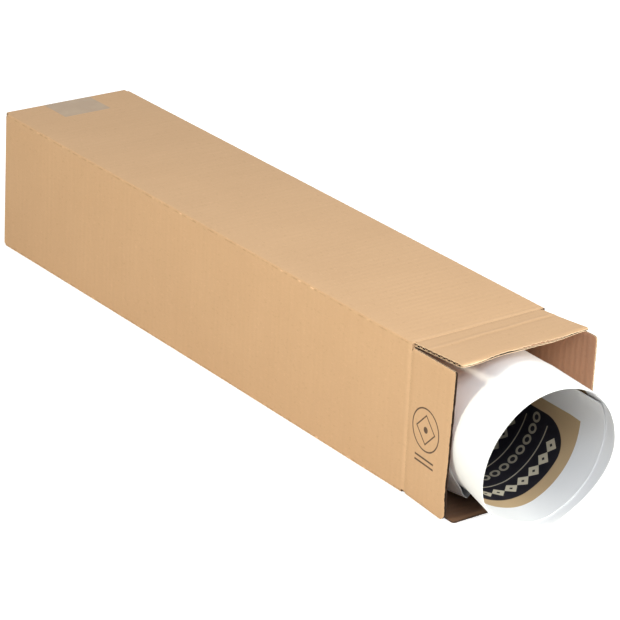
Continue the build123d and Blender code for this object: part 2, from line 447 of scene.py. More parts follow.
def sleeve_grid(loop, places, dented):
    """Rows of points along the carton. Each column follows the girth, pushed out or in by
    the panel's slow bulge, by dents where flutes cross the folds, by the score line beside
    each fold and by the crush at the mouth. The mouth's corners stand back as slots."""
    x, z, out_x, out_z, off_fold, panel = loop.T
    y = np.repeat(places[:, None], len(loop), 1)
    in_slot = (np.abs(x) > width / 2 - slot_side) & (np.abs(z) > height / 2 - board)
    in_slot &= off_fold < board
    front = y < mouth_y + slot_zone
    deep = np.where(z > 0, top_notch, slot_depth)
    set_back = mouth_y + deep + (y - mouth_y) * (slot_zone - deep) / slot_zone
    y = np.where(in_slot & front, set_back, y)
    push = np.zeros_like(y)
    worn, crease = np.zeros_like(y), np.zeros_like(y)
    if dented:
        round_place = np.cumsum(np.hypot(np.diff(x, append=x[0]), np.diff(z, append=z[0])))[None]
        wave = 0.5 + 0.5 * flutes(y)
        uneven = ripple(y, round_place * 3, 23, 0.5)
        push -= bump(off_fold, 0, 1.0) * (flute_dent * wave + uneven_dent * np.abs(uneven))
        # the score line beside the folds of the two side panels, crushed in dashes and darkened there
        # with painted shade
        side = (panel % 2 == 1)
        dashes = np.clip(0.35 + 1.3 * ripple(y, 0 * round_place, 11, 0.6), 0, 1)
        score = bump(off_fold, 0.7, 0.5) * side * dashes
        push -= score_dent * score
        crease += 0.9 * score
        # pressed places, the washboard of the flutes and slow bulges, away from the rims
        middle = ramp(off_fold, 0, fold_fade) * ramp(y, sleeve_end - end_level, sleeve_end - end_fade)
        middle = middle * ramp(y, mouth_y, mouth_y + mouth_fade)
        pressed = np.clip(ripple(y, 0 * round_place, 16, 1.0) - 0.5, 0, 1) * np.exp(-off_fold / 30)
        push -= pressed_dent * pressed * middle * side
        push += middle * (washboard * flutes(y) + ripple(y, round_place, 190, panel_bulge))
        spots = np.clip(ripple(y, round_place * 0.5, 13, 1.0) - 0.85, 0, 1)
        worn += bump(off_fold, 0.3, 0.8) * (0.05 + 2.6 * spots * side)
        # crushed band and dip at the mouth's score
        from_mouth = y - mouth_y
        push -= 0.08 * bump(from_mouth, -0.3, 1.2) + 0.06 * bump(from_mouth, 6.6, 1.6)
        push += 0.06 * bump(from_mouth, 2.6, 1.6)
        worn += 0.45 * bump(from_mouth, 2.4, 2.4) * (off_fold > 0.5)
    up = z + height / 2 + push * out_z
    return np.stack([racked(x + push * out_x, y, up), y, up], 2), worn, crease


row_step = flute_pitch / 5
outer_rows = np.append(np.arange(mouth_y, sleeve_end - 0.4 * row_step, row_step), sleeve_end)
skin, skin_worn, skin_crease_shade = sleeve_grid(outer_loop, outer_rows, True)
front_rows = mouth_y + np.array([0.0, slot_zone / 4, slot_zone / 2, slot_zone])
inner_rows = np.append(front_rows, np.linspace(mouth_y + 40, sleeve_end, 12))
lining = sleeve_grid(inner_loop, inner_rows, False)[0]
# the sleeve's rim carries painted shade of the flutes' hollows
sleeve = slab(
    skin, lining, closed=True, finish=(OUTER, INNER, HOLLOW_SHADE),
    marks={"worn": (skin_worn, 0.0), "crease": (skin_crease_shade, 0.0)},
)

# the rim takes the outer liner's colour at the top left, and painted shade of the open flutes' hollows
# in the other slots
sleeve_points, sleeve_faces, sleeve_finish, _ = sleeve
rim_at = sleeve_points[sleeve_faces].mean(1)
plain_rim = (rim_at[:, 2] > height - 2 * board) & (rim_at[:, 0] < 0)
sleeve_finish[(sleeve_finish == HOLLOW_SHADE) & plain_rim] = OUTER

# the joining tab, glued to the inside of the right panel
tab_width, tab_board, tab_slope, tab_setback, tab_rear_gap = 32.0, 2.4, 9.0, 14.0, 6.0
tab_washboard, tab_thinned, tab_sunk = 0.05, 0.5, 0.2
tab_up = np.linspace(0, 1, 12)[None, :]
tab_along = np.linspace(0, 1, 220)[:, None]
tab_front = mouth_y + tab_setback + tab_slope * tab_up
tab_rear = closed_y - tab_rear_gap - tab_setback - tab_slope * tab_up
tab_y = tab_front + (tab_rear - tab_front) * tab_along
tab_z = board + tab_width * tab_up + 0 * tab_y
tab_face = width / 2 - board - tab_board + tab_washboard * flutes(tab_y)
tab_face = tab_face + tab_thinned * bump(tab_z, board + tab_width, 1.2)
tab_glued = width / 2 - board + tab_sunk + 0 * tab_y
tab = slab(
    np.stack([racked(tab_face, tab_y, tab_z), tab_y, tab_z], 2),
    np.stack([racked(tab_glued, tab_y, tab_z), tab_y, tab_z], 2),
    finish=(OUTER, INNER, CORE),
)

sleeve_piece = make_piece("carton_sleeve", [sleeve, tab], board_finishes)
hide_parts("tube_body")
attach(sleeve_piece, "carton")

# Closed end: the side panels' short flaps fold in first, then the top and the
# bottom panels' flaps fold over them and meet in a seam. Each is board of two
# liners over a fluted core, which shows along the cut side edges.
outer_seam, inner_seam = 2.0, 6.0
inner_step = board + 0.06
end_straight = closed_y - fold_radius - sleeve_end
core_paper, core_setback, core_side_gap, core_gap = 0.35, 1.3, 0.15, 0.04
tip_zone, side_zone, crush_curve = 4.5, 3.0, 1.6
worn_tip, worn_sides = 0.35, 0.2
crowding, slowing = 0.86, 1.25


def across_places(count):
    """Places from 0 to 1, closer together towards both ends: part of a sine's rise."""
    t = np.linspace(-1, 1, count)
    return 0.5 + 0.5 * np.sin(t * np.pi / 2 * crowding) / np.sin(np.pi / 2 * crowding)


def along_places(count):
    """Places from 0 to 1, closer together towards the end: 1 less a power of what is left."""
    t = np.linspace(0, 1, count)
    return 1 - (1 - t) ** slowing


def board_shells(lay, root, tip, low_side, high_side, rows, columns, core_rows,
                 torn=None, frayed=0.25, dent=None, tip_crush=0.0, tip_share=None,
                 side_crush=(0.0, 0.0), tip_rim=CUT):
    """Corrugated board as three closed slabs: outer liner, inner liner and a core that waves
    between them as a sine of the board's length. lay(s, d, c) places a point that is s along
    the board, d under its outer face and c across. tip is a function of the across place.
    The cutter crushes the board towards its tip and sides: there its two liners close up."""
    c = low_side + (high_side - low_side) * across_places(columns)[None, :]

    def crush(s, wide):
        """How far the liners close up: a power of the nearness to the tip or a side."""
        near_tip = ramp(s, tip(wide) - tip_zone, tip(wide)) ** crush_curve
        near_tip = near_tip * (tip_share(wide) if tip_share else 1.0)
        near_low = ramp(wide, low_side + side_zone, low_side) ** crush_curve
        near_high = ramp(wide, high_side - side_zone, high_side) ** crush_curve
        sides = np.maximum(side_crush[0] * near_low, side_crush[1] * near_high)
        return np.maximum(tip_crush * near_tip, sides)

    def skin_at(top, low, way, finish, extra, marked):
        """One liner between two depths, moved way times half of the crush."""
        s = root + (tip(c) + extra - root) * along_places(rows)[:, None]
        wide = c + 0 * s
        # the dent's marks: a painted highlight, added to the wear, and painted shade in the crease
        # mark
        drop, painted_highlight, crease = dent(s, wide) if (dent and marked) else (0 * s, 0 * s, 0 * s)
        drop = drop + way * crush(s, wide) / 2
        rubbed_sides = bump(wide, low_side, 0.7) + bump(wide, high_side, 0.7)
        worn = worn_tip * bump(s, tip(c), 0.8) + worn_sides * rubbed_sides + painted_highlight
        return slab(
            lay(s, top + drop, wide), lay(s, low + drop, wide), finish=(*finish, tip_rim),
            marks={"worn": (worn, 0.0), "crease": (crease, 0.0)},
        )

    fray = frayed * (ripple(c, 0 * c, 5, 0.5) + ripple(c, 0 * c, 1.7, 0.5))
    # each liner's side next to the core carries painted shade of the hollows between the flutes
    outer = skin_at(0.0, liner, 1, (OUTER, HOLLOW_SHADE, CUT), fray - (torn(c) if torn else 0), True)
    inner_fray = 0.6 * ripple(c, 0 * c, 6, frayed)
    inner = skin_at(board - liner, board, -1, (HOLLOW_SHADE, INNER, CUT), inner_fray, False)
    coarse = c[:, ::3]
    s = root + (tip(coarse) - core_setback - root) * np.linspace(0, 1, core_rows)[:, None]
    wide = np.clip(coarse + 0 * s, low_side + core_side_gap, high_side - core_side_gap)
    wave = np.sign(flutes(s)) * np.abs(flutes(s)) ** 0.5
    swing = np.maximum(board - 2 * liner - core_paper - core_gap - crush(s, wide), 0) / 2
    middle = board / 2 + swing * wave
    core = slab(
        lay(s, middle - core_paper / 2, wide), lay(s, middle + core_paper / 2, wide),
        finish=(CORE, CORE, CUT),
    )
    return [outer, inner, core]


tightest_bend = 0.04


def end_fold(s, d, straight, inset):
    """Path of a panel that turns the carton's end: straight for a while, round a quarter
    circle, then along the end. Gives the place along the carton and the drop from the side."""
    quarter = fold_radius * np.pi / 2
    turn = np.clip((s - straight) / fold_radius, 0, np.pi / 2)
    radius = np.maximum(fold_radius - d, tightest_bend)
    y = closed_y - inset - fold_radius + np.minimum(s - straight, 0) + radius * np.sin(turn)
    drop = fold_radius - radius * np.cos(turn) + np.maximum(s - straight - quarter, 0)
    y = np.where(d > fold_radius, np.minimum(y, closed_y - inset - d), y)
    return y, np.maximum(drop, d)


end_dish, dish_start, dish_end = 0.12, 7.0, 37.0


def outer_end(up):
    """Lay of an outer flap of the closed end, from the top panel or from the bottom one."""
    def lay(s, d, c):
        """The end fold's path, down from the top or up from the bottom, slightly dished."""
        y, drop = end_fold(s, d, end_straight, 0.0)
        z = height - drop if up else drop
        y = y - ramp(s, dish_start, dish_end) * end_dish
        return np.stack([racked(c, y, z), y, z], 2)
    return lay


def inner_end(side):
    """Lay of an inner flap of the closed end, from the left panel (-1) or the right (1)."""
    def lay(s, d, c):
        """The end fold's path, one board deeper and in from the side."""
        y, drop = end_fold(s, d, end_straight - inner_step, inner_step)
        return np.stack([racked(side * (width / 2 - drop), y, c), y, c], 2)
    return lay


flap_half = width / 2 - slot_side
quarter_turn = fold_radius * math.pi / 2
outer_reach = end_straight + quarter_turn + height / 2 - outer_seam / 2 - fold_radius
inner_reach = end_straight - inner_step + quarter_turn + width / 2 - inner_seam / 2 - fold_radius


def outer_end_tip(c):
    """The two outer flaps of the closed end meet in a seam at half height."""
    return outer_reach + 0 * c


def inner_end_tip(c):
    """The two inner flaps of the closed end stop a little short of each other."""
    return inner_reach + 0 * c


end_rows, outer_columns, inner_columns, end_core_rows = 90, 60, 40, 190
end_shells = []
for up in (True, False):
    end_shells += board_shells(
        outer_end(up), 0.0, outer_end_tip, -flap_half, flap_half,
        end_rows, outer_columns, end_core_rows,
    )
for side in (-1, 1):
    end_shells += board_shells(
        inner_end(side), 0.0, inner_end_tip, slot_side, height - slot_side,
        end_rows, inner_columns, end_core_rows,
    )
end_piece = make_piece("closed_end_flaps", end_shells, board_finishes)
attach(end_piece, "carton")

# Mouth flaps: four flaps of the same board stand open at the near end, each
# hung on its score. Cut edges show the two liners and the flutes between them.
flap_reach = 60.3
crease_gap = 0.6
hinge_y = mouth_y - crease_gap / 2
flap_angles = {"top_flap": 3.5, "bottom_flap": 0.0, "left_flap": 4.0, "right_flap": 8.7}
flap_flares = {"left_flap": 0.018, "bottom_flap": 0.034}


def flap_frame(name):
    """Hinge point, direction along the flap, outward direction and axis across it."""
    angle = math.radians(flap_angles[name])
    turn, rise = math.cos(angle), math.sin(angle)
    if name == "top_flap":
        return (0, hinge_y, height), (0, -turn, rise), (0, rise, turn), (1, 0, 0)
    if name == "bottom_flap":
        return (0, hinge_y, 0), (0, -1, 0), (0, 0, -1), (1, 0, 0)
    if name == "left_flap":
        return (-width / 2, hinge_y, 0), (-rise, -turn, 0), (-turn, rise, 0), (0, 0, 1)
    return (width / 2, hinge_y, 0), (rise, -turn, 0), (turn, rise, 0), (0, 0, 1)


def flap_lay(name, bow):
    """Places a point of a flap: the hinge, plus s along it, less d inwards, plus c across,
    and pushed outwards by bow(s, c). Two of the flaps flare a little towards their tips."""
    hinge, along, outward, side = (np.array(v, float) for v in flap_frame(name))
    flare = flap_flares.get(name, 0.0)

    def lay(s, d, c):
        """The hinge plus the three directions, each times its own distance."""
        push = bow(s, c) - d
        wide = c * (1 + flare * ramp(s, 0, flap_reach))
        return hinge + s[..., None] * along + push[..., None] * outward + wide[..., None] * side
    return lay


def corner_tip(reach, sides, corners, uneven):
    """Reach of a flap across its width: its length, less the quarter round of each corner,
    less the unevenness of its cut."""
    def tip(c):
        """Reach at the across place c."""
        short = 0
        for corner, from_side in zip(corners, (c - sides[0], sides[1] - c)):
            left = np.clip(corner - from_side, 0, corner)
            short = short + corner - np.sqrt(np.maximum(corner**2 - left**2, 0))
        return reach - short - (uneven(c) if uneven else 0)
    return tip


# place of the second score, and the across place of the painted highlight at the top flap's front left
# corner
second_score, highlight_corner = 16.0, -55.0


def root_dent(s, c):
    """Depth pressed into a flap's outer face at its crushed root, as two bell curves and the flutes'
    washboard, with no painted highlight, and painted shade in a soft band just past the root."""
    drop = 0.08 * bump(s, -0.3, 1.2) + 0.05 * bump(s, 4.0, 2.0)
    return drop - washboard * flutes(s), 0.0 * s, 0.22 * bump(s, 1.6, 1.6)


def top_dent(s, c):
    """The same on the top flap, with the low ridge of a second score, which runs a little askew, a
    painted highlight on that ridge with painted shade either side of it, and a strong painted
    highlight on the front left corner."""
    drop, painted_highlight, painted_shade_mark = root_dent(s, c)
    line = second_score - 2.0 * c / flap_half + 0.4 * np.sin(c / 9)
    drop = drop - 0.26 * bump(s, line, 2.0) + 0.12 * bump(s, line + 4.2, 2.0)
    # painted highlight along the ridge, and a strong one at the front left corner
    painted_highlight = 0.34 * bump(s, line, 2.0) + 3.0 * bump(s, flap_reach, 2.4) * bump(c, highlight_corner, 12)
    # painted shade just after and just before the ridge
    painted_shade_mark = painted_shade_mark + 0.22 * bump(s, line + 3.2, 1.8) + 0.1 * bump(s, line - 3.4, 1.6)
    return drop, painted_highlight, painted_shade_mark


def top_bow(s, c):
    """The top flap lifts a little towards its middle and more towards its right corner."""
    out = ramp(s, 0, flap_reach)
    return out**2 * (1.1 * bump(c, -8, 34) + 2.0 * ramp(c, 20, 65)) + 0.2 * np.sin(c / 19) * out


def left_bow(s, c):
    """The left flap bends out a little in its lower half."""
    return ramp(s, 0, flap_reach) ** 2 * (1.2 * bump(c, 28, 42) - 0.3 * bump(c, 120, 30))


def right_bow(s, c):
    """The right flap bends inwards towards its tip."""
    return ramp(s, 0, flap_reach) ** 2 * (0.6 * bump(c, 60, 40) - 4.6 - 1.4 * bump(c, 20, 50))


def flat_bow(s, c):
    """The bottom flap lies flat."""
    return 0.0 * s + 0.0 * c


def top_cut(c):
    """Unevenness of the top flap's front edge."""
    return 2.6 * bump(c, -20, 20) + 0.5 * np.sin(c / 7.0) + 0.5 + 2.4 * ramp(c, 0, 60)


def top_tear(c):
    """How far the outer liner is torn back from the top flap's front edge."""
    return np.clip(bump(c, 14, 21) * (1.5 + 0.8 * np.sin(c * 1.3) + 0.5 * np.sin(c * 3.1)), 0, 2.6)


def top_share(c):
    """Share of the cutter's crush along the top flap's front edge, more at both corners."""
    return 0.8 + 0.5 * bump(c, -58, 24) + 0.5 * bump(c, 62, 34)


def left_cut(c):
    """The left flap's free edge stands back in its lower half."""
    return 2.8 * bump(c, 22, 26) + 1.6 * bump(c, 72, 34) + 2.0


def right_cut(c):
    """The right flap is cut a little short."""
    return 0.8 + 0.2 * np.sin(c / 11)


def length_of(tree, first, second):
    """Node output: the root of the sum of two squares."""
    return math_node(tree, "SQRT", plus(tree, times(tree, first, first), times(tree, second, second)))


mark_y, mark_z = -335.0, 67.0
ring_radius, dot_radius, diamond_reach = 18.0, 2.8, 12.5
bar_heights, bar_half = (-25.0, -29.5), 13.0


def marked_material():
    """The outer liner with a plain line mark printed in brown ink: a ring round a diamond
    and a dot, over two short bars. Its lines are distance fields along and up the flap."""
    material = outer_liner.copy()
    material.name = "printed_liner"
    tree = material.node_tree
    place = object_place(tree)
    axes = node(tree, "ShaderNodeSeparateXYZ", {0: place})
    along = scaled(tree, axes.outputs["Y"], 1 / MM, -mark_y)
    up = scaled(tree, axes.outputs["Z"], 1 / MM, -mark_z)
    wide = math_node(tree, "ABSOLUTE", along)
    tall = math_node(tree, "ABSOLUTE", up)
    far = length_of(tree, along, up)

    def line(value, middle, half):
        """1 within half a line's breadth of the middle, with a soft edge."""
        off = math_node(tree, "ABSOLUTE", less(tree, value, middle))
        return scaled(tree, less(tree, half, off), 2.5, 0.5, clamp=True)

    ink = math_node(tree, "MAXIMUM", line(far, ring_radius, 0.65), line(far, 0.0, dot_radius))
    ink = math_node(tree, "MAXIMUM", ink, line(plus(tree, wide, tall), diamond_reach, 0.85))
    for low in bar_heights:
        bar = times(tree, line(up, low, 0.8), line(wide, 0.0, bar_half))
        ink = math_node(tree, "MAXIMUM", ink, bar)
    speck = scaled(tree, noise(tree, place, 900.0, 2.0), 0.4, 0.7)
    worn_ink = math_node(tree, "MULTIPLY", ink, speck, clamp=True)
    shader = tree.nodes["Principled BSDF"]
    bare = shader.inputs["Base Color"].links[0].from_socket
    printed = mix_colour(tree, worn_ink, bare, colour(58, 37, 24))
    tree.links.new(printed, shader.inputs["Base Color"])
    return material


marked_liner = marked_material()
flap_root = 0.3
flap_rows, flap_columns, flap_core_rows = 64, 110, 160

# each flap: its two side edges, corner radii, bow, cut, extra length and the cutter's crush
flaps = {
    "top_flap": dict(
        sides=(-flap_half - 0.7, flap_half - 1.0), corners=(1.5, 1.5),
        bow=top_bow, cut=top_cut, longer=0.0,
        board=dict(torn=top_tear, frayed=0.35, dent=top_dent, tip_crush=1.2, tip_share=top_share,
                   side_crush=(0.2, 0.8)),
    ),
    "bottom_flap": dict(
        sides=(-flap_half, flap_half), corners=(2.6, 3.0), bow=flat_bow, cut=None, longer=1.5,
        board=dict(frayed=0.2, dent=root_dent, tip_crush=1.5, side_crush=(1.3, 1.3)),
    ),
    "left_flap": dict(
        sides=(0.5, 127.6), corners=(9.0, 1.6), bow=left_bow, cut=left_cut, longer=0.0,
        # its free edge is painted dark: painted shade of its open flutes
        board=dict(frayed=0.35, dent=root_dent, tip_crush=0.9, side_crush=(1.4, 1.5), tip_rim=HOLLOW_SHADE),
    ),
    "right_flap": dict(
        sides=(3.4, 128.4), corners=(3.0, 2.6), bow=right_bow, cut=right_cut, longer=0.0,
        board=dict(frayed=0.2, dent=root_dent, tip_crush=1.6, side_crush=(1.4, 1.5)),
    ),
}
for name, flap in flaps.items():
    tip = corner_tip(flap_reach + flap["longer"], flap["sides"], flap["corners"], flap["cut"])
    lay = flap_lay(name, flap["bow"])
    shells = board_shells(
        lay, flap_root, tip, *flap["sides"], flap_rows, flap_columns, flap_core_rows, **flap["board"],
    )
    finishes = list(board_finishes)
    if name == "bottom_flap":
        # painted shade on the bottom flap's inner face and cut rims
        finishes[INNER] = finishes[CUT] = painted_shade_liner
    if name == "left_flap":
        finishes[OUTER] = marked_liner
    piece = make_piece(name + "_board", shells, finishes)
    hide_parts(name)
    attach(piece, name)

# Mouth scores: the board between the sleeve and each flap is crushed thin where it bends.
# Its liners carry on over the gap as a fixed strip across each score, which closes the gap as the
# flaps stand.
strip_inset, strip_half, strip_flat = 1.8, 2.0, 0.8
groove_depth, outer_sink = 0.12, 0.4
lining_depth, inner_sink = 2.9, 0.5


def score_strip(name, low_side, high_side):
    """Closed strip across one score. Its outer face lies in the groove and its inner face
    just under the inner liners, and both sink into the boards at their ends."""
    hinge, _, outward, side = (np.array(v, float) for v in flap_frame(name))
    outward = np.round(outward / np.abs(outward).max())
    y = np.linspace(-strip_half, strip_half, 17)[:, None]
    c = np.linspace(low_side, high_side, 90)[None, :]
    sunk = ramp(np.abs(y), strip_flat, strip_half)
    out_depth = groove_depth + outer_sink * sunk + 0.02 * np.sin(c * 1.7)
    in_depth = lining_depth - inner_sink * sunk + 0 * c

    def place(depth):
        """The hinge less the depth inwards, plus c across and y along."""
        points = hinge - depth[..., None] * outward + (c + 0 * y)[..., None] * side
        points[..., 1] += (y + 0 * c)
        return points

    return slab(
        place(out_depth), place(in_depth), finish=(0, 1, 2),
        marks={"worn": (0.3 + 0 * y + 0 * c, 0.0)},
    )


for name, flap in flaps.items():
    low_side, high_side = flap["sides"]
    shell = score_strip(name, low_side + strip_inset, high_side - strip_inset)
    # the strips' rims carry painted shade of the flutes' hollows
    strip = make_piece(name + "_score", [shell], [outer_liner, inner_liner, hollow_flute_shade])
    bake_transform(strip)

# Closing tape: one strip of thin brownish film from the top panel over the far
# end and under the bottom. It has a sawn cut at both ends and small wrinkles.
tape_width, tape_leg = 50.0, 39.5
tape_rise, tape_sink = 0.06, 0.3
tooth_depth, tooth_pitch, tooth_fade = 0.35, 1.6, 9.0
tape_sway, tape_wrinkle = 0.15, 0.03


def tape_material():
    """Thin grey-brown film: smooth and slightly glossy, cloudy where the glue took badly."""
    material, tree, shader = new_material("tape_film")
    place = object_place(tree)
    cloud = noise(tree, place, 70.0, 3.0)
    pull = noise(tree, place, (420, 26, 26), 2.0)
    cloudy = scaled(tree, less(tree, cloud, 0.42), 3.0, 0.0, clamp=True)
    film = mix_colour(tree, cloudy, colour(174, 147, 119), colour(186, 163, 136))
    tree.links.new(film, shader.inputs["Base Color"])
    tree.links.new(scaled(tree, cloud, 0.25, 0.28), shader.inputs["Roughness"])
    add_relief(tree, shader, pull, 0.5, 0.2)
    return material


def tape_grid(depth):
    """Points of the tape under its outer face: down a leg, round the end and along the
    other leg. The path is the carton's own end outline, its ends cut in small teeth."""
    leg, quarter = tape_leg - fold_radius, fold_radius * np.pi / 2
    end_run = height - 2 * fold_radius
    total = 2 * leg + 2 * quarter + end_run
    t = np.concatenate([
        np.linspace(0, leg, 40),
        leg + np.linspace(0.3, quarter, 9),
        leg + quarter + np.linspace(1.5, end_run - 1.5, 80),
        total - leg - quarter + np.linspace(0, quarter - 0.3, 9),
        total - leg + np.linspace(0, leg, 40),
    ])[:, None]
    x = np.linspace(-tape_width / 2, tape_width / 2, 101)[None, :]
    teeth = tooth_depth * np.abs(((x / tooth_pitch) % 1.0) * 2 - 1)
    t = t + (bump(t, 0, tooth_fade) - bump(t, total, tooth_fade)) * teeth
    upper = t < total / 2
    s = np.where(upper, t, total - t)
    turn = np.clip((s - leg) / fold_radius, 0, np.pi / 2)
    radius = fold_radius - depth
    y = closed_y - fold_radius + np.minimum(s - leg, 0) + radius * np.sin(turn)
    drop = fold_radius - radius * np.cos(turn) + np.maximum(s - leg - quarter, 0)
    z = np.where(upper, height - drop, drop)
    return np.stack([racked(x + 0 * s + tape_sway * np.sin(s / 11), y, z), y, z], 2), s


tape_top, tape_run = tape_grid(-tape_rise)
wrinkles = tape_wrinkle * ripple(tape_top[..., 0] * 0.4, tape_top[..., 2], 16, 1.0)
tape_top[..., 1] += wrinkles * bump(tape_run, 90, 50)
tape_under = tape_grid(tape_sink)[0]
tape_piece = make_piece("closing_tape_film", [slab(tape_top, tape_under)], [tape_material()])
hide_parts("closing_tape")
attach(tape_piece, "carton")

# Rolled print: one sheet of heavy white paper, printed on its inner side and
# wound nearly two and a half times. The turns have slid, so each front edge
# stands further back, and the loose outer edge springs off the roll.
paper = 0.4
sheet_length = 610.0
join_angle = 52.0
first_turn, last_turn = 14.0, 938.0
growth = 0.0024
spring_turn, spring = 894.0, 5.4

# place along the roll, and there its middle to the right, its radius and its foot's height
stations = np.array([
    (-431.0, -13.0, 59.3, 3.4),
    (-371.1, -9.2, 60.2, 5.5),
    (-310.5, -5.3, 59.4, 5.2),
    (-150.0, -4.5, 59.8, 3.2),
]).T
station_y = stations[0]
rim_y = station_y[0]

# angle wound from the inner join, and how far the front edge stands back there
front_edge = np.array([
    (14, 11.0), (34, 15.0), (60, 17.5), (95, 19.5), (130, 21.0), (180, 28.0),
    (270, 17.5), (352, 8.0), (382, 4.4), (412, 3.6), (427, 5.2), (442, 7.8),
    (457, 10.2), (472, 11.6), (502, 12.2), (532, 14.2), (560, 23.5), (630, 14.3),
    (720, 5.6), (760, 20.0), (850, 90.0), (882, 83.0), (893, 74.0), (938, 71.0),
]).T

# directions of the swellings seen from the mouth, and their heights
left_swell_at, right_swell_at, foot_swell_at = -138.0, 42.0, -92.0
left_swell, right_swell, foot_swell = 7.0, 2.4, 3.2

# stretches along the roll where it starts to swell, where the last turn springs further,
# where it lies on again at the mouth, and where the inner edge curls in more
swell_stretch, spring_stretch = (-365.0, -420.0), (-357.0, -335.0)
mouth_stretch, curl_stretch = (mouth_y + 8, mouth_y - 6), (-426.0, -390.0)
spring_more, spring_spread = 3.5, 9.0
curl_front, curl_more, curl_turn = 0.7, 1.0, 34.0


def degrees_from(angle, middle):
    """Degrees from a middle direction to the angle, between -180 and 180."""
    return (np.degrees(angle) - middle + 180) % 360 - 180


def roll_points(turn, front, sink):
    """Points of the sheet on its spiral. turn is the angle wound from the inner join, front
    the place behind the sheet's front edge and sink the depth under the outer side. The
    radius grows evenly with the turn. In front of the mouth the roll swells at its lower
    left, its right and its foot, as bell curves of the direction. The last turn springs
    down on to the bottom flap before it lies on again, and the inner edge curls in."""
    y = rim_y + np.interp(turn, *front_edge) + front
    shift, radius, low = (np.interp(y, station_y, row) for row in stations[1:])
    angle = math.radians(join_angle) - np.radians(turn)
    own = radius - growth * (last_turn - turn) - sink
    wave = 0.16 * np.sin(2 * angle + y / 37) + 0.12 * np.sin(3 * angle - y / 61 + 1.0)
    from_left = degrees_from(angle, left_swell_at)
    swell = left_swell * bump(from_left, 0, np.where(from_left > 0, 24.0, 42.0))
    swell = swell + right_swell * bump(degrees_from(angle, right_swell_at), 0, 38)
    swell = swell + foot_swell * bump(degrees_from(angle, foot_swell_at), 0, 16)
    swell = swell * ramp(y, *swell_stretch)
    sprung = (spring + spring_more * ramp(y, *spring_stretch)) * bump(turn, spring_turn, spring_spread)
    sprung = sprung * ramp(y, *mouth_stretch)
    curl = curl_front + curl_more * ramp(y, *curl_stretch)
    curled = -curl * ramp(turn, first_turn + curl_turn, first_turn) ** 1.6
    own = own + wave + swell + sprung + curled
    return np.stack([shift + own * np.cos(angle), y, low + radius + own * np.sin(angle)], 2)


def paper_group():
    """Looks of coated paper: the height of its fine tooth, and a roughness that follows it."""
    group, given, result = new_group(
        "paper_grain",
        {"Scale": 900.0, "Detail": 3.0, "Smoothest": 0.5},
        {"Height": "NodeSocketFloat", "Roughness": "NodeSocketFloat"},
    )
    tooth = noise(group, object_place(group), given["Scale"], given["Detail"])
    group.links.new(tooth, result["Height"])
    group.links.new(scaled(group, tooth, 0.1, given["Smoothest"]), result["Roughness"])
    return group


paper_grain = paper_group()


def add_grain(tree, shader, scale, detail, smoothest, strength):
    """The paper's grain on a shader: its relief and its roughness."""
    values = {"Scale": scale, "Detail": detail, "Smoothest": smoothest}
    grain = node(tree, "ShaderNodeGroup", values, node_tree=paper_grain)
    tree.links.new(grain.outputs["Roughness"], shader.inputs["Roughness"])
    add_relief(tree, shader, grain.outputs["Height"], strength, 0.06)


def plain_paper(name, shade):
    """Bright white paper of one shade, with a slow cloudiness."""
    material, tree, shader = new_material(name)
    tone = scaled(tree, noise(tree, object_place(tree), 22.0, 2.0), 0.04, 0.97)
    grey = node(tree, "ShaderNodeCombineColor", {0: tone, 1: tone, 2: tone}).outputs[0]
    tree.links.new(mix_colour(tree, 1.0, shade, grey, "MULTIPLY"), shader.inputs["Base Color"])
    add_grain(tree, shader, 900.0, 3.0, 0.5, 0.35)
    return material


tan_around, tan_behind = (39.0, 830.0), (30.0, 580.0)
field_middle, field_half, field_corner = (219.0, 305.0), (169.0, 263.0), 30.0
marks_end = 364.0
ring_row, ring_pitch, ring_inner, ring_outer = 82.0, 10.4, 2.4, 4.6
line_rows, line_half = (67.0, 94.5), 0.6

# rows of diamonds: place behind the edge, size, pitch, where the row starts and strength
diamond_rows = ((55.0, 6.6, 13.0, 65.0, 1.0), (108.0, 5.6, 13.0, 52.0, 0.55))
diamond_hole = 1.7


